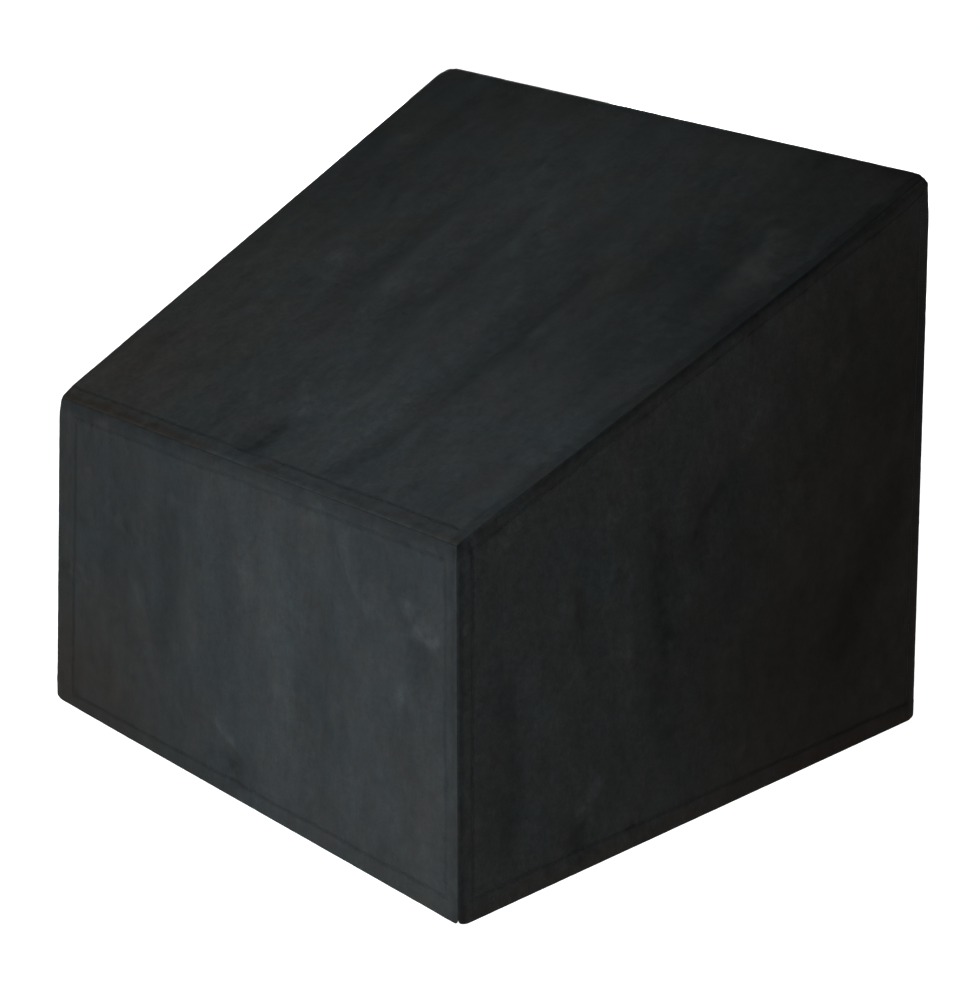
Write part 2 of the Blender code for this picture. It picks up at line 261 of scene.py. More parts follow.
FRONT_FOLDS = fold_table(
    (310, 100, 310, 720, 45, -4),
    (460, 140, 470, 580, 40, -3),
    (680, 170, 690, 990, 48, -5),
    (160, 160, 180, 670, 45, -3),
    (600, 280, 600, 920, 50, 3),
    (390, 180, 390, 760, 38, 2.5),
    (840, 140, 810, 760, 60, 3),
    (900, 400, 980, 180, 35, -3),
    (420, 930, 550, 840, 38, -3.5),
)
TOP_FOLDS = fold_table(
    (680, 330, 680, 1000, 42, -5.5),
    (600, 500, 620, 980, 50, 3.5),
    (300, 220, 320, 700, 50, -4),
    (460, 260, 460, 700, 42, -3.5),
    (380, 360, 380, 670, 38, 3),
    (220, 310, 220, 600, 45, 2.5),
    (790, 140, 800, 460, 45, -3),
    (840, 200, 910, 420, 40, -3),
    (880, 260, 980, 380, 40, 3.5),
    (470, 860, 470, 1000, 38, -3.5),
)
RIGHT_FOLDS = fold_table(
    (100, 360, 110, 960, 42, -4),
    (400, 140, 400, 560, 45, -3.5),
    (260, 160, 250, 500, 40, -2.5),
    (460, 430, 600, 240, 36, -4),
    (220, 820, 250, 990, 40, -3),
    (560, 680, 850, 310, 60, 3),
    (750, 830, 960, 460, 55, -3),
)
LEFT_FOLDS = fold_table(
    (880, 400, 870, 950, 42, -3.5),
    (600, 180, 610, 580, 48, -4),
    (430, 700, 170, 300, 60, 3),
    (320, 850, 120, 500, 50, -3),
    (740, 250, 750, 620, 42, 2.5),
)
BACK_FOLDS = fold_table(
    (280, 160, 290, 840, 60, -4.5),
    (500, 100, 500, 660, 52, -3.5),
    (720, 180, 730, 900, 58, -5),
    (100, 80, 220, 340, 42, -3),
    (900, 80, 780, 360, 42, -3),
)


# Creases, finer than the folds. bow is how far the middle strays to the left on the way from start
# to end, width how far the flanks reach, and rise the height of the ridge, below zero for a
# pinched-in line. tint above zero is painted highlight along a ridge, partly the whitening of
# strained coating, and below zero painted shade along a pinched-in line. skew above zero makes
# the left flank the wider one.
Crease = namedtuple("Crease", "start end bow width rise tint skew", defaults=(0.0,))


def crease_table(*rows):
    """Creases from rows in thousandths of the panel and in millimetres, then tint and skew."""
    return tuple(
        Crease(thousandths(row[:2]), thousandths(row[2:4]), *thousandths(row[4:7]), *row[7:])
        for row in rows
    )


FRONT_CREASES = crease_table(
    (430, 775, 502, 868, 4, 13, 1.6, 0.28, 0.3),
    (468, 850, 492, 985, 4, 28, -2.2, -0.16),
    (325, 780, 378, 850, 3, 15, 1.1, 0.09, 0.3),
    (735, 50, 832, 300, -12, 20, 1.6, 0.14, 0.6),
    (870, 180, 958, 295, 2, 20, 2, 0.25, 0.2),
    (885, 268, 975, 290, 4, 15, 1.4, 0.2),
    (895, 230, 905, 345, 0, 11, -0.8, -0.06),
    (862, 488, 898, 405, 2, 14, 1.3, 0.17, -0.2),
    (868, 440, 925, 478, 2, 13, 0.8, 0.07),
    (478, 235, 545, 390, -6, 25, 1.7, 0.13, 0.3),
    (500, 300, 500, 255, 0, 13, 0.7, 0.04),
    (300, 190, 362, 178, 2, 13, 0.9, 0.1),
    (388, 160, 412, 235, 2, 18, 1, 0.07),
    (615, 110, 700, 60, 3, 25, 1.2, 0.09),
    (585, 400, 632, 490, 3, 16, 0.9, 0.09, 0.2),
    (125, 285, 190, 345, 4, 15, 1, 0.1, 0.3),
    (182, 300, 228, 380, 2, 13, -1, -0.1),
    (205, 440, 240, 560, 2, 18, 1.1, 0.09, 0.2),
    (78, 180, 104, 225, 0, 13, 0.7, 0.09),
    (65, 500, 100, 560, 0, 13, 0.9, 0.1),
    (10, 545, 46, 520, 0, 9, -0.8, -0.14),
    (300, 600, 345, 640, 2, 11, 0.8, 0.09),
    (245, 690, 275, 660, 0, 10, 0.6, 0.07),
    (885, 655, 905, 800, 3, 13, 0.8, 0.07, 0.2),
    (905, 780, 952, 875, 2, 15, 1, 0.09, 0.2),
    (530, 955, 565, 965, 0, 10, 0.6, 0.1),
)
TOP_CREASES = crease_table(
    (428, 800, 502, 885, 4, 15, 2, 0.19, 0.3),
    (462, 872, 482, 990, 4, 33, -2.6, -0.16),
    (310, 800, 392, 900, 4, 18, 1.2, 0.07, 0.3),
    (732, 100, 832, 330, -16, 22, 1.8, 0.11, 0.6),
    (860, 195, 965, 345, 4, 25, 2.4, 0.2, 0.3),
    (895, 300, 985, 320, -6, 20, 1.8, 0.18),
    (930, 240, 950, 330, 0, 15, -1, -0.06),
    (880, 460, 892, 535, 2, 20, 1.3, 0.12),
    (472, 260, 556, 395, 3, 20, 1.6, 0.11, 0.3),
    (500, 380, 535, 440, 2, 18, 1, 0.07),
    (205, 355, 262, 412, 2, 18, 1.5, 0.13, 0.3),
    (192, 350, 228, 425, 0, 11, -1.1, -0.14),
    (200, 480, 228, 560, 3, 22, 1.4, 0.12, 0.2),
    (300, 225, 352, 215, 2, 15, 1, 0.1),
    (392, 205, 430, 235, 2, 18, 0.9, 0.07),
    (375, 100, 390, 155, 0, 15, -1, -0.12),
    (378, 180, 395, 235, 0, 13, -0.9, -0.1),
    (612, 115, 695, 70, 3, 30, 1.4, 0.08),
    (596, 480, 640, 560, 3, 18, 1.2, 0.1, 0.2),
    (362, 570, 420, 555, 2, 18, 1.1, 0.07),
    (428, 480, 456, 570, 2, 13, 0.9, 0.07, 0.2),
    (65, 560, 125, 640, 3, 18, 1, 0.07, 0.2),
    (78, 210, 112, 290, 2, 15, 0.9, 0.07, 0.2),
    (120, 310, 155, 360, 0, 13, -0.8, -0.09),
    (925, 795, 970, 815, 0, 18, 1, 0.11),
    (535, 965, 570, 955, 0, 15, 0.8, 0.1),
    (665, 370, 730, 320, 3, 18, 1, 0.07, -0.2),
)
RIGHT_CREASES = crease_table(
    (288, 782, 228, 862, 3, 13, 1.5, 0.34, -0.3),
    (232, 870, 245, 990, 4, 33, -2.4, -0.22),
    (436, 398, 560, 292, 6, 22, -1.1, -0.12, -0.2),
    (500, 380, 590, 310, 4, 18, 1.2, 0.09, 0.2),
    (195, 385, 238, 325, 0, 16, 1.3, 0.15),
    (128, 485, 170, 430, 2, 16, 1.1, 0.11),
    (235, 300, 252, 440, -2, 14, -1.2, -0.12),
    (285, 190, 330, 225, 0, 15, 1, 0.1),
    (348, 185, 375, 225, 2, 16, 1.1, 0.11),
    (300, 500, 340, 560, 2, 20, 1.3, 0.1),
    (458, 520, 498, 455, 2, 18, 1.2, 0.11),
    (565, 285, 640, 180, 4, 18, 1.3, 0.1, 0.2),
    (735, 65, 790, 95, -3, 18, 1.2, 0.11),
    (835, 145, 875, 95, 2, 20, 1.2, 0.1),
    (760, 250, 820, 190, 3, 18, 1.1, 0.09),
    (705, 240, 765, 320, -3, 20, 1.2, 0.09),
    (635, 510, 715, 370, 6, 28, 1.4, 0.07, 0.2),
    (495, 730, 640, 520, 8, 33, 1.8, 0.07, 0.2),
    (85, 100, 130, 70, 2, 20, 1, 0.09),
    (175, 735, 205, 760, 0, 13, 0.8, 0.09),
    (10, 185, 18, 250, 0, 7, 0.6, 0.36),
    (385, 480, 450, 560, -3, 22, -0.8, -0.06),
    (860, 830, 905, 900, 3, 15, 1, 0.09),
    (560, 885, 590, 895, 0, 13, 0.7, 0.11),
    (330, 955, 352, 938, 0, 15, -1, -0.18),
    (935, 590, 975, 610, 0, 18, 1, 0.09),
    (400, 200, 405, 930, 3, 34, -0.8, -0.12, 0.2),
    (340, 300, 350, 800, -4, 30, 0.8, 0.08),
    (115, 380, 110, 900, 3, 26, -0.6, -0.1),
)
LEFT_CREASES = crease_table(
    (700, 770, 770, 860, -4, 14, 1.5, 0.14, 0.3),
    (750, 870, 760, 980, -3, 30, -2.2, -0.15),
    (450, 300, 560, 400, -6, 16, -1.6, -0.12, 0.2),
    (790, 330, 840, 400, 2, 16, 1.2, 0.09),
    (620, 200, 670, 260, 2, 16, 1.1, 0.07),
    (360, 180, 430, 280, -4, 18, 1.3, 0.07, 0.2),
    (170, 120, 240, 200, 3, 19, 1.2, 0.07),
    (300, 520, 420, 720, 6, 28, 1.6, 0.06, 0.2),
    (880, 100, 930, 150, 2, 18, 1, 0.06),
    (100, 720, 160, 830, 3, 16, 1, 0.06),
)
BACK_CREASES = crease_table(
    (140, 120, 220, 240, 5, 18, 1.4, 0.09, 0.3),
    (860, 100, 770, 230, -5, 18, 1.4, 0.09, -0.3),
    (400, 300, 460, 430, 4, 20, 1.5, 0.07, 0.2),
    (580, 520, 640, 660, 4, 19, 1.4, 0.07, 0.2),
    (330, 780, 400, 860, 3, 14, 1.4, 0.11, 0.3),
    (390, 870, 400, 980, 3, 30, -2, -0.12),
    (200, 550, 240, 620, 2, 15, 1.1, 0.07),
    (840, 600, 890, 700, -3, 16, 1.2, 0.07),
    (660, 140, 720, 190, 2, 16, 1, 0.07),
)

# The four edges of a panel, as seen from outside. inset is the distance of the line of stitches
# from the edge, and inset_end the same at the far end, seen with the panel's middle on the left.
# marked says how plainly the line shows in the cloth, from 0, where there is no such line, to 1.
Edge = namedtuple("Edge", "inset inset_end marked")
LEFT_EDGE, RIGHT_EDGE, HEAD, FOOT = range(4)
# Strips of painted shade along an edge, darker by tint, or of painted highlight where tint is
# above zero; they fade out between near and far metres from it. warmth turns the cloth's grey
# browner, up to 1, as the warm cast of the painted shade. They hold between the shares start and
# end of the edge, from left to right or from top to bottom.
Strip = namedtuple("Strip", "edge near far tint warmth start end", defaults=(0.0, 0.0, 1.0))
# Broad soft patches of painted light, where tint is above zero, and painted shade, where it is
# below; warmth gives them the cool or warm cast of that light. place is in shares of the panel as
# above, and reach in metres.
Patch = namedtuple("Patch", "place reach tint warmth", defaults=(0.0,))
Panel = namedtuple(
    "Panel",
    "name node slot corners plane folds creases edges strips patches grain seed held hem_rise",
    defaults=("hung", 0.0),
)


def sewn(inset, marked=1.0, inset_end=None):
    """An edge whose line of stitches keeps its inset, unless inset_end is given."""
    return Edge(inset, inset_end or inset, marked)


# In each panel, strips paint shade and highlight along its edges, and patches paint broad light and
# shade.
PANELS = (
    Panel(
        name="front",
        node="front_panel",
        slot="front_cloth",
        corners=(FRONT_LOW[LEFT], FRONT_LOW[RIGHT], FRONT_HIGH[LEFT], FRONT_HIGH[RIGHT]),
        plane=FRONT,
        folds=FRONT_FOLDS,
        creases=FRONT_CREASES,
        edges=(sewn(0.037), sewn(0.018), sewn(0.0205), sewn(0.019, inset_end=0.029)),
        strips=(
            Strip(HEAD, 0.008, 0.021, -0.22),
            Strip(RIGHT_EDGE, 0.004, 0.019, -0.2),
            Strip(RIGHT_EDGE, 0.001, 0.005, 0.22),
            Strip(LEFT_EDGE, 0.02, 0.045, -0.06, 0.1),
            Strip(FOOT, 0.01, 0.03, -0.03),
        ),
        patches=(
            Patch((0.58, 0.35), 0.15, 0.2, -0.1),
            Patch((0.62, 0.85), 0.19, 0.26, -0.1),
            Patch((0.95, 0.9), 0.22, 0.22, 0.1),
            Patch((0.2, 0.05), 0.23, -0.12),
            Patch((0.9, 0.04), 0.16, -0.1),
            Patch((0.08, 0.9), 0.2, -0.16, 0.35),
        ),
        grain=1.0,
        hem_rise=0.004,
        seed=11,
    ),
    Panel(
        name="top",
        node="top_panel",
        slot="top_cloth",
        corners=(FRONT_HIGH[LEFT], FRONT_HIGH[RIGHT], REAR_HIGH[LEFT], REAR_HIGH[RIGHT]),
        plane=TOP,
        folds=TOP_FOLDS,
        creases=TOP_CREASES,
        edges=(sewn(0.022, 0.0), sewn(0.0155, 0.4), sewn(0.022, 0.0), sewn(0.022)),
        strips=(
            Strip(RIGHT_EDGE, 0.012, 0.018, -0.22),
            Strip(HEAD, 0.004, 0.032, -0.24),
            Strip(FOOT, 0.006, 0.015, -0.26, 0.35, end=0.46),
            Strip(FOOT, 0.006, 0.013, -0.16, 0.1, start=0.46),
        ),
        patches=(
            Patch((0.96, 0.04), 0.24, -0.38, 0.1),
            Patch((0.95, 0.5), 0.3, -0.26),
            Patch((0.08, 0.6), 0.26, 0.14, 0.1),
            Patch((0.08, 0.92), 0.2, 0.08, 0.3),
            Patch((0.4, 0.22), 0.22, 0.26, -0.2),
            Patch((0.62, 0.84), 0.16, 0.16, -0.2),
            Patch((0.45, 0.55), 0.38, 0.22),
            Patch((0.9, 0.72), 0.22, 0.16),
        ),
        grain=1.2,
        held="stretched",
        seed=12,
    ),
    Panel(
        name="right",
        node="side_panel_right",
        slot="side_cloth",
        corners=(FRONT_LOW[RIGHT], REAR_LOW[RIGHT], FRONT_HIGH[RIGHT], REAR_HIGH[RIGHT]),
        plane=RIGHT_SIDE,
        folds=RIGHT_FOLDS,
        creases=RIGHT_CREASES,
        edges=(sewn(0.021), sewn(0.018, 0.4), sewn(0.0165), sewn(0.027)),
        strips=(
            Strip(LEFT_EDGE, 0.004, 0.022, -0.12),
            Strip(LEFT_EDGE, 0.002, 0.012, -0.36),
            Strip(HEAD, 0.013, 0.019, -0.18),
            Strip(HEAD, 0.001, 0.012, -0.2, start=0.08, end=0.8),
            Strip(HEAD, 0.001, 0.01, -0.16, end=0.9),
            Strip(FOOT, 0.01, 0.03, -0.05, 0.2),
        ),
        patches=(
            Patch((0.55, 0.6), 0.3, -0.28),
            Patch((0.94, 0.3), 0.34, -0.5, 0.25),
            Patch((0.9, 0.88), 0.38, -0.56, 0.75),
            Patch((0.17, 0.5), 0.13, 0.08, -0.5),
            Patch((0.3, 0.35), 0.12, 0.06, -0.6),
        ),
        grain=1.9,
        seed=13,
    ),
    Panel(
        name="left",
        node="side_panel_left",
        slot="side_cloth",
        corners=(REAR_LOW[LEFT], FRONT_LOW[LEFT], REAR_HIGH[LEFT], FRONT_HIGH[LEFT]),
        plane=LEFT_SIDE,
        folds=LEFT_FOLDS,
        creases=LEFT_CREASES,
        edges=(sewn(0.018, 0.6), sewn(0.021), sewn(0.0165), sewn(0.027)),
        strips=(
            Strip(RIGHT_EDGE, 0.001, 0.02, -0.15),
            Strip(HEAD, 0.013, 0.019, -0.15),
            Strip(FOOT, 0.01, 0.03, -0.05, 0.2),
        ),
        patches=(
            Patch((0.3, 0.45), 0.28, -0.1, 0.1),
            Patch((0.15, 0.9), 0.24, -0.12, 0.3),
            Patch((0.75, 0.55), 0.2, 0.1),
        ),
        grain=1.7,
        seed=14,
    ),
    Panel(
        name="back",
        node="back_panel",
        slot="back_cloth",
        corners=(REAR_LOW[RIGHT], REAR_LOW[LEFT], REAR_HIGH[RIGHT], REAR_HIGH[LEFT]),
        plane=BACK,
        folds=BACK_FOLDS,
        creases=BACK_CREASES,
        edges=(sewn(0.02, 0.8), sewn(0.02, 0.8), sewn(0.022), sewn(0.025)),
        strips=(
            Strip(HEAD, 0.004, 0.02, -0.15),
            Strip(FOOT, 0.01, 0.03, -0.05, 0.2),
        ),
        patches=(
            Patch((0.25, 0.7), 0.22, -0.1, 0.15),
            Patch((0.6, 0.3), 0.24, 0.1),
            Patch((0.9, 0.9), 0.2, -0.12, 0.2),
        ),
        grain=1.6,
        seed=15,
    ),
)


def smooth(share):
    """0 up to share 0 and 1 from share 1, with a gentle start and end."""
    share = np.clip(share, 0.0, 1.0)
    return share * share * (3 - 2 * share)


def beside_line(points, start, end):
    """Each point's distance from the stretch between start and end, and its place along it."""
    run = end - start
    length = np.linalg.norm(run)
    if length == 0:
        return np.linalg.norm(points - start, axis=1), np.zeros(len(points))
    along = np.clip((points - start) @ run / length, 0, length)
    nearest = start + np.outer(along / length, run)
    return np.linalg.norm(points - nearest, axis=1), along


def radius_at(points):
    """The radius to which the edges near each point are rounded."""
    radius = np.full(len(points), EDGE_RADIUS)
    for soft in SOFT_EDGES:
        away, _ = beside_line(points, soft.start, soft.end)
        softer = EDGE_RADIUS + (soft.radius - EDGE_RADIUS) * (1 - smooth(away / soft.reach))
        radius = np.maximum(radius, softer)
    return radius


def nearest_inside(points, inset):
    """The nearest point to each point that lies inset or more inside every plane."""
    inner = points.copy()
    pushes = np.zeros((len(PLANES), len(points)))
    for _ in range(PUSH_ROUNDS):
        for k, plane in enumerate(PLANES):
            outside = (inner - plane.point) @ plane.outward + inset
            push = np.maximum(0.0, pushes[k] + outside)
            inner -= np.outer(push - pushes[k], plane.outward)
            pushes[k] = push
    return inner


def rounded(points):
    """Points of the sharp wedge moved onto its rounded edges, and the outward direction there."""
    radius = radius_at(points)
    inner = nearest_inside(points, radius)
    outward = unit(points - inner)
    return inner + outward * radius[:, None], outward


def hem_height(panel, foot):
    """How high the lower edge of a panel's hem is above the ground at one point."""
    left, right = panel.corners[:2]
    height = panel.hem_rise * np.linalg.norm(foot - left) / np.linalg.norm(right - left)
    for lift in HEM_LIFTS:
        away = np.linalg.norm(foot - lift.foot) / lift.reach
        if away < 1:
            height = max(height, lift.height * (1 - math.sqrt(1 - (1 - away) ** 2)))
    return height


def tilt(points):
    """How far the uneven front top edge lifts each point. It fades to the hem and to the rear."""
    share_up = points[:, 2] / (FRONT_HEIGHT + SLOPE * (points[:, 1] - FRONT_TOP_Y))
    share_across = points[:, 0] / (FRONT_WIDTH / 2)
    return FRONT_TILT * share_up * share_across * (0.5 - points[:, 1] / DEPTH)


def sag(points):
    """How far the right-hand slope edge and the cloth beside it hang down at each point."""
    away, along = beside_line(points, FRONT_HIGH[RIGHT], REAR_HIGH[RIGHT])
    share = along / np.linalg.norm(REAR_HIGH[RIGHT] - FRONT_HIGH[RIGHT])
    held = smooth(share / SAG_WHOLE) * smooth((1 - share) / (1 - SAG_ENDS))
    return SLOPE_SAG * held * np.exp(-((away / SAG_REACH) ** 2))


def on_panel(panel, place):
    """The point of a flat panel at shares of its width and height."""
    across, down = place
    lower_left, lower_right, upper_left, upper_right = panel.corners
    head = upper_left + (upper_right - upper_left) * across
    foot = lower_left + (lower_right - lower_left) * across
    return head + (foot - head) * down


def rim_lines(panel):
    """The left, right, head and foot edge of a flat panel, each with the panel on its left."""
    lower_left, lower_right, upper_left, upper_right = panel.corners
    return (
        (upper_left, lower_left),
        (lower_right, upper_right),
        (upper_right, upper_left),
        (lower_left, lower_right),
    )


def rim_distance(panel, flat):
    """Each point's distance from the nearest edge of a flat panel."""
    return np.min([beside_line(flat, *line)[0] for line in rim_lines(panel)], axis=0)


def axes(panel):
    """The directions across and up a panel, as seen from outside."""
    across = unit(panel.corners[1] - panel.corners[0])
    return across, np.cross(panel.plane.outward, across)


def folds_at(panel, flat):
    """The rise of the folds at each point of a flat panel."""
    total = np.zeros(len(flat))
    for fold in panel.folds:
        start, end = on_panel(panel, fold.start), on_panel(panel, fold.end)
        run = end - start
        share = (flat - start) @ run / (run @ run)
        off = np.linalg.norm(flat - start - np.outer(share, run), axis=1) / fold.width
        ends = np.abs(2 * share - 1)
        inside = (off < 1) & (ends < 1)
        total += np.where(inside, fold.rise * (1 - off**2) ** 2 * (1 - ends**3), 0.0)
    rim = rim_distance(panel, flat)
    return smooth((rim - FOLDS_START) / (FOLDS_WHOLE - FOLDS_START)) * total


def crease_frame(panel, crease, flat):
    """How far each point is along a crease, from 0 to 1, and to its left, in flanks."""
    start, end = on_panel(panel, crease.start), on_panel(panel, crease.end)
    run = end - start
    left = np.cross(panel.plane.outward, unit(run))
    share = (flat - start) @ run / (run @ run)
    off = (flat - start) @ left - crease.bow * 4 * share * (1 - share)
    flank = crease.width * np.where(off > 0, 1 + crease.skew, 1 - crease.skew)
    return share, off / flank


def creases_at(panel, flat):
    """The rise of the creases at each point of a flat panel, and their tint of painted highlight
    and shade.
    """
    rise, tint = np.zeros(len(flat)), np.zeros(len(flat))
    broken = 1 + CREASE_BROKEN * waves(flat, panel.seed + 7, *CREASE_WAVES)
    for crease in panel.creases:
        share, off = crease_frame(panel, crease, flat)
        ends = np.clip(1 - np.abs(2 * share - 1), 0, 1)
        fade = smooth(2 * ends)
        crest = np.sqrt(off**2 + CREASE_TOP**2) - CREASE_TOP
        rise += crease.rise * fade * np.clip(1 - crest, 0, 1) ** 2
        # painted highlight on a ridge, partly strain whitening, and painted shade in a pinched-in
        # line
        tint += crease.tint * fade * np.clip(1 - off**2, 0, 1) ** 2 * broken
    return rise, tint


def waves(places, seed, count, shortest, longest):
    """Smooth unevenness of about 1 in height, from count waves whose lengths are spread evenly."""
    dice = np.random.default_rng(seed)
    total = np.zeros(len(places))
    for length in np.linspace(shortest, longest, count):
        phase = dice.uniform(0, 2 * math.pi)
        direction = unit(dice.normal(size=places.shape[1]))
        total += np.sin(places @ direction * 2 * math.pi / length + phase)
    return total * math.sqrt(2 / count)


def unevenness(panel, flat):
    """The rise of the cloth between its folds and creases."""
    across, up = axes(panel)
    places = np.stack([flat @ across, flat @ up], axis=1)
    rim = rim_distance(panel, flat)
    total = np.zeros(len(flat))
    for k, swell in enumerate(SWELLS):
        seed = panel.seed + 100 * k
        rise = swell.height * waves(places, seed, swell.count, swell.shortest, swell.longest)
        total += rise * (1 - swell.held + swell.held * smooth(rim / FOLDS_WHOLE))
    return total


def stitch_inset(panel, k, along):
    """How far the line of stitches along edge k is from the edge, at places along it."""
    edge = panel.edges[k]
    start, end = rim_lines(panel)[k]
    wander = waves(along[:, None], panel.seed * 10 + k, *STITCH_WAVES)
    slant = (edge.inset_end - edge.inset) * along / np.linalg.norm(end - start)
    return edge.inset + slant + STITCH_WANDER * wander / 2


def sewing_at(panel, flat):
    """What sewing gives each point: rise, painted shade in its groove, and how far it is past the
    turned-in cloth.
    """
    lines = [beside_line(flat, *line) for line in rim_lines(panel)]
    insets = [stitch_inset(panel, k, along) for k, (_, along) in enumerate(lines)]
    strip, groove, pucker = (np.zeros(len(flat)) for _ in range(3))
    for k, (edge, (away, along)) in enumerate(zip(panel.edges, lines)):
        off = away - insets[k]
        others = [lines[j][0] - insets[j] * (panel.edges[j].marked > 0) for j in range(4) if j != k]
        within = smooth(np.min(others, axis=0) / STITCH_PITCH + 1) * edge.marked
        strip = np.maximum(strip, smooth(-off / GROOVE_WIDTH + 0.5) * edge.marked)
        groove = np.maximum(groove, np.exp(-((off / GROOVE_WIDTH) ** 2)) * within)
        gathers = np.sin(2 * math.pi * along / PUCKER_LENGTH)
        gathers *= waves(along[:, None], panel.seed * 20 + k, *PUCKER_WAVES)
        pucker += gathers * np.exp(-np.abs(off) / PUCKER_REACH) * edge.marked
    rise = TURN_RISE * strip - GROOVE_DEPTH * groove + PUCKER * pucker
    past = np.min([away - inset for (away, _), inset in zip(lines, insets)], axis=0) - TURN_PAST
    # the second value is painted shade along the groove
    return rise, -GROOVE_SHADE * groove, past


def painted_light_and_shade_at(panel, flat):
    """The tint and the warmth that strips and patches give each point: painted shade and light."""
    tint, warmth = np.zeros(len(flat)), np.zeros(len(flat))
    for k, strip in enumerate(panel.strips):
        away, along = beside_line(flat, *rim_lines(panel)[strip.edge])
        share = along / max(np.max(along), CUT_STEP)
        if strip.edge in (HEAD, RIGHT_EDGE):
            share = 1 - share
        ragged = STRIP_RAGGED * waves(along[:, None], panel.seed * 40 + k, *STRIP_WAVES)
        held = 1 - smooth((away * (1 + ragged) - strip.near) / (strip.far - strip.near))
        held *= smooth((share - strip.start) / STRIP_FADE + (strip.start <= 0))
        held *= smooth((strip.end - share) / STRIP_FADE + (strip.end >= 1))
        tint += strip.tint * held
        warmth += strip.warmth * held
    for patch in panel.patches:
        away = np.linalg.norm(flat - on_panel(panel, patch.place), axis=1) / patch.reach
        held = np.exp(-((away * PATCH_FALL) ** 2))
        tint += patch.tint * held
        warmth += patch.warmth * held
    return tint, warmth


def cloth_faces(panel, flat):
    """The sewn panel over points of its flat cut: outer face, inner face, shades and outward."""
    points, outward = rounded(flat)
    folds = folds_at(panel, flat)
    creases, crease_highlight_wear_and_shade = creases_at(panel, flat)
    sewing, stitch_groove_shade, past_turn = sewing_at(panel, flat)
    painted_light_and_shade, warmth = painted_light_and_shade_at(panel, flat)
    points = points + np.outer(folds, panel.plane.outward)
    points[:, 2] += tilt(points) - sag(points)
    layers = 2 - smooth(past_turn / TURN_STEP)
    # the turned edge is as round as the cloth is thick
    past = np.clip(1 - (rim_distance(panel, flat) - SEAM_GAP) / CLOTH, 0, EDGE_TURN)
    turned = CLOTH * (1 - np.sqrt(1 - past**2))
    relief = creases + unevenness(panel, flat)
    outer = points + outward * (relief + sewing - turned)[:, None]
    inner = points + outward * (relief - CLOTH * layers + turned)[:, None]
    # tint adds up painted shade and highlight from the stitch grooves, creases, strips and patches
    tint = stitch_groove_shade + crease_highlight_wear_and_shade + painted_light_and_shade
    # painted shade in the troughs of the folds and painted highlight on their ridges
    tint += np.where(folds < 0, TROUGH_SHADE, RIDGE_HIGHLIGHT) * folds
    shades = {"tint": tint, "warmth": warmth, "grain": np.full(len(flat), panel.grain)}
    return outer, inner, shades, outward


def stations(low, high, length):
    """Places along a line, as a share of it plus metres: close at its ends, even between."""
    steps = max(2, round((length - low[-1] - high[-1]) / CUT_STEP))
    places = [(0.0, metres) for metres in low]
    for k in range(1, steps):
        share = k / steps
        places.append((share, low[-1] * (1 - share) - high[-1] * share))
    return places + [(1.0, -metres) for metres in reversed(high)]


def rows_at(edge, share=0.0):
    """Distances from an edge: close at the turned edge and about the line of stitches."""
    inset = edge.inset + (edge.inset_end - edge.inset) * share
    least = min(edge.inset, edge.inset_end)
    near = [row for row in EDGE_ROWS if row < least + GROOVE_ROWS[0] - ROW_CLEAR]
    rows = [SEAM_GAP + row * inset / least for row in near]
    rows += [inset + row for row in GROOVE_ROWS if row < TURN_PAST]
    return rows + [inset + TURN_PAST + row for row in TURN_ROWS]


def at_station(start, end, station):
    """The point on the way from start to end at one of the stations."""
    share, metres = station
    return start + (end - start) * share + unit(end - start) * metres


def divide_creases(bm, panel):
    """Finer faces in the flat cut, about the panel's creases."""
    for reach, widest in CREASE_CUTS:
        centres = np.array([face.calc_center_median() for face in bm.faces])
        near_crease = np.zeros(len(centres), bool)
        for crease in panel.creases:
            if crease.width > widest:
                continue
            share, off = crease_frame(panel, crease, centres)
            beside = (share > -CREASE_PAST) & (share < 1 + CREASE_PAST)
            near_crease |= (np.abs(off) < reach) & beside
        bm.faces.ensure_lookup_table()
        edges = {
            edge
            for k in np.flatnonzero(near_crease)
            for edge in bm.faces[k].edges
            if edge.calc_length() > FINE_STEP
        }
        bmesh.ops.subdivide_edges(bm, edges=list(edges), cuts=1, use_grid_fill=True)


def flat_cut(panel):
    """The flat panel as a mesh, with finer faces about its creases."""
    lower_left, lower_right, upper_left, upper_right = panel.corners
    left, right, head, _ = (rows_at(edge) for edge in panel.edges)
    width = np.linalg.norm(lower_right - lower_left)
    columns = stations(left, right, width)
    on_ground = lower_left[2] == 0
    bm = bmesh.new()
    grid = []
    for column in columns:
        low = at_station(lower_left, lower_right, column)
        high = at_station(upper_left, upper_right, column)
        lift = hem_height(panel, low) if on_ground else 0.0
        foot = rows_at(panel.edges[FOOT], column[0] + column[1] / width)
        rows = stations(foot, head, np.linalg.norm(upper_left - lower_left))
        line = []
        for share, metres in rows:
            if share == 0.0 and on_ground:
                metres = max(metres - SEAM_GAP, 0.0)
                metres += lift * max(0.0, 1 - metres / HEM_PULL)
            line.append(bm.verts.new(at_station(low, high, (share, metres))))
        grid.append(line)
    for near, far in zip(grid, grid[1:]):
        for a, b, c, d in zip(near, far, far[1:], near[1:]):
            bm.faces.new((a, b, c, d))
    divide_creases(bm, panel)
    return bm


def in_scene(name, data):
    obj = bpy.data.objects.new(name, data)
    bpy.context.scene.collection.objects.link(obj)
    return obj


def object_from(name, mesh, material):
    """A smooth object of one material."""
    obj = in_scene(name, mesh)
    obj.data.materials.append(material)
    obj.data.shade_smooth()
    return obj


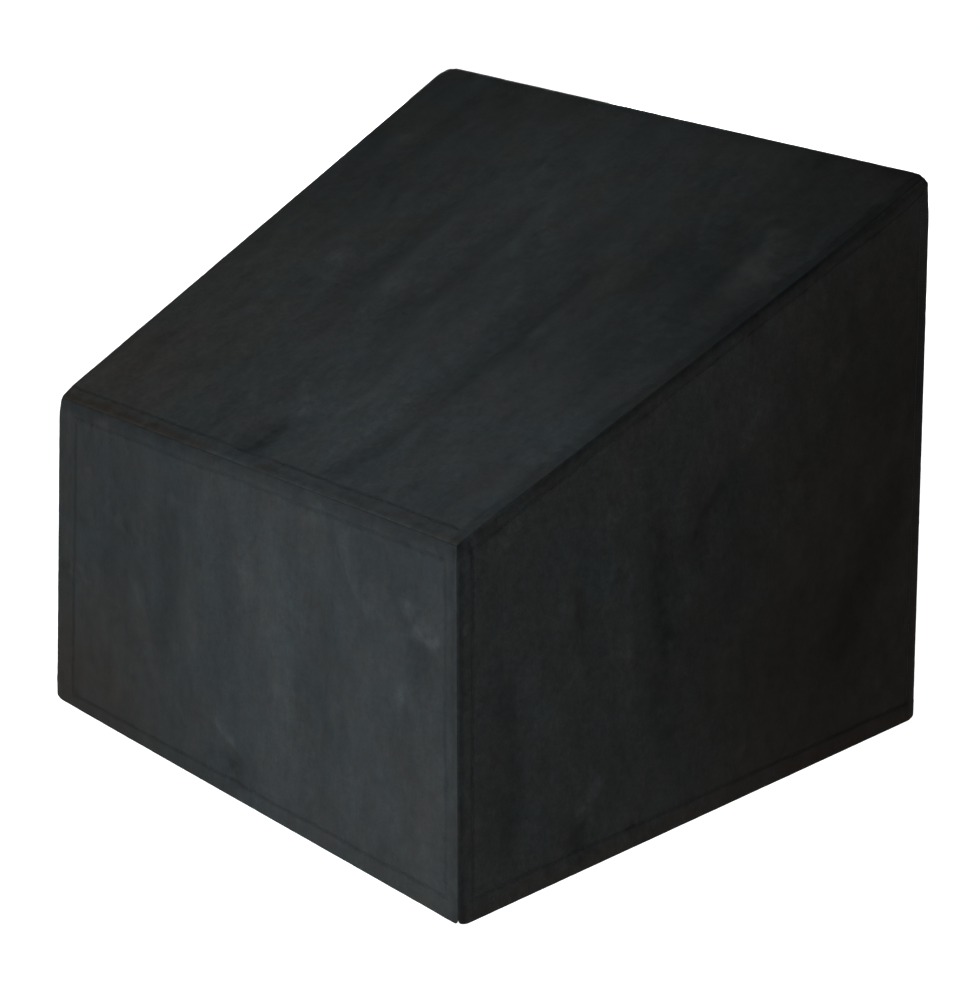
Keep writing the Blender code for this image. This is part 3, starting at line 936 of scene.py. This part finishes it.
def cloth_object(panel, material):
    """The sewn panel: its flat cut given two faces, then laid over the wedge."""
    bm = flat_cut(panel)
    flat = np.array([vert.co for vert in bm.verts])
    outer, inner, shades, _ = cloth_faces(panel, flat)
    across, up = axes(panel)
    cut = bpy.data.meshes.new("cut")
    bm.to_mesh(cut)
    bm.free()
    pattern = cut.uv_layers.new(name="weave")
    corner_points = flat[[loop.vertex_index for loop in cut.loops]]
    places = np.stack([corner_points @ across, corner_points @ up], axis=1)
    pattern.data.foreach_set("uv", places.ravel())
    obj = object_from(f"{panel.name}_sheet", cut, material)
    layers = obj.modifiers.new("two faces", "SOLIDIFY")
    layers.thickness = CLOTH
    layers.offset = -1.0
    evaluated = obj.evaluated_get(bpy.context.evaluated_depsgraph_get())
    sewn = bpy.data.meshes.new_from_object(evaluated)
    obj.modifiers.clear()
    obj.data = sewn
    sewn.vertices.foreach_set("co", np.concatenate([outer, inner]).ravel())
    for name, values in shades.items():
        shade = sewn.attributes.new(name, "FLOAT", "POINT")
        shade.data.foreach_set("value", np.concatenate([values, values]))
    sewn.update()
    sewn.shade_smooth()
    return obj


def corner_run(panel, k, at_end):
    """How far from one end of edge k its line of stitches meets the neighbouring edge's."""
    lines = rim_lines(panel)
    order = (HEAD, LEFT_EDGE, FOOT, RIGHT_EDGE)  # the order in which the edges run
    j = order[(order.index(k) + (1 if at_end else -1)) % 4]
    run = unit(lines[k][1] - lines[k][0])
    other = unit(lines[j][1] - lines[j][0])
    own, neighbour = panel.edges[k], panel.edges[j]
    inset = own.inset_end if at_end else own.inset
    across = neighbour.inset if at_end else neighbour.inset_end
    if not neighbour.marked:
        across = STITCH_PITCH
    cosine = -float(run @ other)
    return (across + inset * cosine) / math.sqrt(1 - cosine**2)


def stitch_starts(panel, k):
    """The places along edge k at which its stitches begin, inside the lines of its neighbours."""
    start, end = rim_lines(panel)[k]
    length = np.linalg.norm(end - start)
    last = length - corner_run(panel, k, True) - STITCH_LENGTH
    return np.arange(corner_run(panel, k, False), last, STITCH_PITCH)


def stitch_lines(panel):
    """The flat places of the stitches, line by line, as an array for each of their stations."""
    lines = []
    for k, (start, end) in enumerate(rim_lines(panel)):
        if not panel.edges[k].marked:
            continue
        run = unit(end - start)
        inward = np.cross(panel.plane.outward, run)
        begins = stitch_starts(panel, k)
        line = []
        for share, _, _ in STITCH_STATIONS:
            along = begins + share * STITCH_LENGTH
            inset = stitch_inset(panel, k, along)
            line.append(start + np.outer(along, run) + np.outer(inset, inward))
        lines.append(line)
    return lines


def thread_points(panel, line):
    """Rings of points about the thread, at each station of each stitch in a line."""
    placed = [cloth_faces(panel, flat) for flat in line]
    tangent = unit(placed[-1][0] - placed[0][0])
    rings = []
    for (outer, _, _, outward), (_, height, girth) in zip(placed, STITCH_STATIONS):
        side = unit(np.cross(outward, tangent))
        for corner in range(STITCH_SIDES):
            angle = 2 * math.pi * corner / STITCH_SIDES
            around = side * math.cos(angle) + outward * math.sin(angle)
            rings.append(outer + outward * height + around * THREAD_RADIUS * girth)
    return np.stack(rings, axis=1).reshape(-1, 3)


def thread_faces(first):
    """The faces of one stitch, whose points begin at index first."""
    faces = []
    last = first + (len(STITCH_STATIONS) - 1) * STITCH_SIDES
    for ring in range(first, last, STITCH_SIDES):
        for corner in range(STITCH_SIDES):
            a, b = ring + corner, ring + (corner + 1) % STITCH_SIDES
            faces.append((a, b, b + STITCH_SIDES, a + STITCH_SIDES))
    faces.append(tuple(first + corner for corner in reversed(range(STITCH_SIDES))))
    faces.append(tuple(last + corner for corner in range(STITCH_SIDES)))
    return faces


def stitch_object(panel, material):
    """All the stitches of one panel as one mesh of short stretches of thread."""
    points = np.concatenate([thread_points(panel, line) for line in stitch_lines(panel)])
    size = len(STITCH_STATIONS) * STITCH_SIDES
    faces = [face for first in range(0, len(points), size) for face in thread_faces(first)]
    name = f"{panel.name}_stitches"
    mesh = bpy.data.meshes.new(name)
    mesh.from_pydata(points.tolist(), [], faces)
    return object_from(name, mesh, material)


class Nodes:
    """Short calls for building the node tree of a material or a world."""

    def __init__(self, owner):
        owner.use_nodes = True
        self.tree = owner.node_tree

    def feed(self, socket, value):
        """Links a socket to another node's output, or sets it to a number or a colour."""
        if isinstance(value, bpy.types.NodeSocket):
            self.tree.links.new(value, socket)
        else:
            socket.default_value = value

    def add(self, kind, links=None, **values):
        node = self.tree.nodes.new(kind)
        for key, value in values.items():
            setattr(node, key, value)
        self.fill(node, links or {})
        return node

    def fill(self, node, links):
        for key, value in links.items():
            self.feed(node.inputs[key], value)

    def shade(self, links):
        self.fill(self.tree.nodes["Principled BSDF"], links)

    def place(self):
        return self.add("ShaderNodeTexCoord").outputs["Object"]

    def attribute(self, name):
        return self.add("ShaderNodeAttribute", attribute_name=name).outputs["Fac"]

    def stretched(self, vector, scale):
        return self.add("ShaderNodeMapping", {"Vector": vector, "Scale": scale}).outputs[0]

    def noise(self, vector, scale, detail, roughness):
        texture = {"Vector": vector, "Scale": scale, "Detail": detail, "Roughness": roughness}
        return self.add("ShaderNodeTexNoise", texture).outputs["Fac"]

    def cloud(self, vector, cloud):
        noise = self.noise(vector, cloud.scale, cloud.detail, cloud.roughness)
        links = dict(enumerate((noise, *NOISE_RANGE, cloud.low, cloud.high)))
        return self.add("ShaderNodeMapRange", links).outputs[0]

    def combine(self, operation, first, second):
        return self.add("ShaderNodeMath", {0: first, 1: second}, operation=operation).outputs[0]

    def blend(self, share, first, second):
        """The colour first where share is 0, and second where it is 1."""
        links = {"Factor": share, 6: first, 7: second}
        return self.add("ShaderNodeMix", links, data_type="RGBA").outputs[2]

    def scaled(self, colour, share):
        links = {0: colour, "Scale": share}
        return self.add("ShaderNodeVectorMath", links, operation="SCALE").outputs[0]

    def relief(self, height, strength, distance):
        links = {"Height": height, "Strength": strength, "Distance": distance}
        return self.add("ShaderNodeBump", links).outputs[0]


def cloth_material():
    """Charcoal polyester in plain weave with a dull coating: mottled, with a faint heather."""
    material = bpy.data.materials.new("coated_weave")
    nodes = Nodes(material)
    place = nodes.place()
    pattern = nodes.add("ShaderNodeUVMap", uv_map="weave").outputs["UV"]
    tint, warmth, grain = (nodes.attribute(name) for name in ("tint", "warmth", "grain"))

    # Colour: broad cool and warm areas, and browner ones, where warmth gives the painted shade its
    # warm cast
    hue = nodes.combine("ADD", nodes.cloud(place, HUE), nodes.cloud(place, HEATHER))
    hue = nodes.combine("ADD", hue, nodes.combine("MULTIPLY", warmth, WARMTH_HUE))
    colour = nodes.blend(warmth, nodes.blend(hue, COOL, WARM), BROWN)

    # Lightness: blotches, specks, streaks along both sets of yarns, and the tints, which are
    # painted shade and highlight with some strain whitening at the creases
    value = nodes.cloud(nodes.stretched(pattern, BLOTCHES_PER_METRE), BLOTCHES)
    for mottle in MOTTLES:
        mottled = nodes.combine("MULTIPLY", nodes.cloud(place, mottle), grain)
        value = nodes.combine("MULTIPLY", value, nodes.combine("ADD", mottled, 1.0))
    for stretch in STREAKS_PER_METRE:
        streaks = nodes.cloud(nodes.stretched(pattern, stretch), STREAKS)
        value = nodes.combine("MULTIPLY", value, streaks)
    value = nodes.combine("MULTIPLY", value, nodes.combine("ADD", tint, 1.0))

    # Relief: the yarns of the plain weave, under fine wrinkles in the coating. A wave texture of
    # scale 1 repeats after pi / 10.
    links = {"Vector": pattern, "Scale": YARNS_PER_METRE * math.pi / 10}
    warp, weft = (
        nodes.add("ShaderNodeTexWave", links, bands_direction=direction) for direction in ("X", "Y")
    )
    weave = nodes.combine("MAXIMUM", warp.outputs["Fac"], weft.outputs["Fac"])
    yarns = nodes.combine("MULTIPLY", weave, YARN_HEIGHT)
    height = nodes.combine("ADD", yarns, nodes.noise(place, *WRINKLES))
    nodes.shade(
        {
            "Base Color": nodes.scaled(colour, value),
            "Roughness": nodes.cloud(place, CLOTH_ROUGHNESS),
            "Specular IOR Level": CLOTH_SPECULAR,
            "Normal": nodes.relief(height, *CLOTH_RELIEF),
        }
    )
    return material


def thread_material():
    """Spun black polyester thread: dull, with its twist as fine slanting ridges."""
    material = bpy.data.materials.new("sewing_thread")
    nodes = Nodes(material)
    place = nodes.place()
    links = {"Vector": place, "Scale": TWIST_SCALE}
    twist = nodes.add("ShaderNodeTexWave", links, bands_direction="DIAGONAL")
    nodes.shade(
        {
            "Base Color": nodes.scaled(THREAD_COLOUR, nodes.cloud(place, THREAD_FUZZ)),
            "Roughness": THREAD_ROUGHNESS,
            "Specular IOR Level": THREAD_SPECULAR,
            "Normal": nodes.relief(twist.outputs["Fac"], *TWIST_RELIEF),
        }
    )
    return material


def floor_material():
    material = bpy.data.materials.new("studio_floor")
    nodes = Nodes(material)
    nodes.shade(
        {
            "Base Color": FLOOR_COLOUR,
            "Roughness": nodes.cloud(nodes.place(), FLOOR_ROUGHNESS),
            "Specular IOR Level": FLOOR_SPECULAR,
            "Emission Color": FLOOR_GLOW,
            "Emission Strength": FLOOR_STRENGTH,
        }
    )
    return material


def make_floor():
    bm = bmesh.new()
    bmesh.ops.create_grid(bm, x_segments=1, y_segments=1, size=FLOOR_SIZE / 2)
    mesh = bpy.data.meshes.new("floor")
    bm.to_mesh(mesh)
    bm.free()
    object_from("floor", mesh, floor_material())


def make_camera():
    degrees = (CAMERA_AZIMUTH, CAMERA_ELEVATION, CAMERA_ROLL)
    azimuth, elevation, roll = (math.radians(angle) for angle in degrees)
    back = Vector(
        (
            math.sin(azimuth) * math.cos(elevation),
            -math.cos(azimuth) * math.cos(elevation),
            math.sin(elevation),
        )
    )
    level = Vector((math.cos(azimuth), math.sin(azimuth), 0.0))
    upright = back.cross(level)
    right = level * math.cos(roll) + upright * math.sin(roll)
    up = upright * math.cos(roll) - level * math.sin(roll)
    camera = in_scene("camera", bpy.data.cameras.new("camera"))
    camera.matrix_world = Matrix((right, up, back)).transposed().to_4x4()
    aim = Vector((0, 0, AIM_HEIGHT)) + right * CAMERA_ACROSS + up * CAMERA_UP
    camera.location = aim + back * CAMERA_DISTANCE
    camera.data.lens = LENS
    camera.data.sensor_width = SENSOR
    bpy.context.scene.camera = camera


def make_lights():
    for lamp in LAMPS:
        light = bpy.data.lights.new(lamp.name, "AREA")
        light.shape = "SQUARE"
        light.size = lamp.size
        light.energy = lamp.power
        light.color = lamp.colour
        obj = in_scene(lamp.name, light)
        obj.location = lamp.place
        aim = Vector(lamp.aim) - Vector(lamp.place)
        obj.rotation_euler = aim.to_track_quat("-Z", "Y").to_euler()


def make_sky():
    world = bpy.data.worlds.new("studio")
    nodes = Nodes(world)
    direction = nodes.add("ShaderNodeTexCoord").outputs["Generated"]
    height = nodes.add("ShaderNodeSeparateXYZ", {0: direction}).outputs["Z"]
    links = {"Value": height, "From Max": SKY_LOW_END}
    share = nodes.add("ShaderNodeMapRange", links, interpolation_type="SMOOTHSTEP").outputs[0]
    sky = nodes.blend(share, SKY_LOW, SKY_HIGH)
    nodes.fill(nodes.tree.nodes["Background"], {"Color": sky})
    bpy.context.scene.world = world


def dress():
    """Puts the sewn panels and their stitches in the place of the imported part."""
    cloth, thread = cloth_material(), thread_material()
    sheets = {panel.name: cloth_object(panel, cloth) for panel in PANELS}
    for panel in PANELS:
        sheet = sheets[panel.name]
        stitches = stitch_object(panel, thread)
        for piece in (sheet, stitches):
            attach(piece, "root")
        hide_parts(panel.node)


dress()
make_floor()
make_camera()
make_lights()
make_sky()
bpy.context.scene.view_settings.view_transform = "Standard"
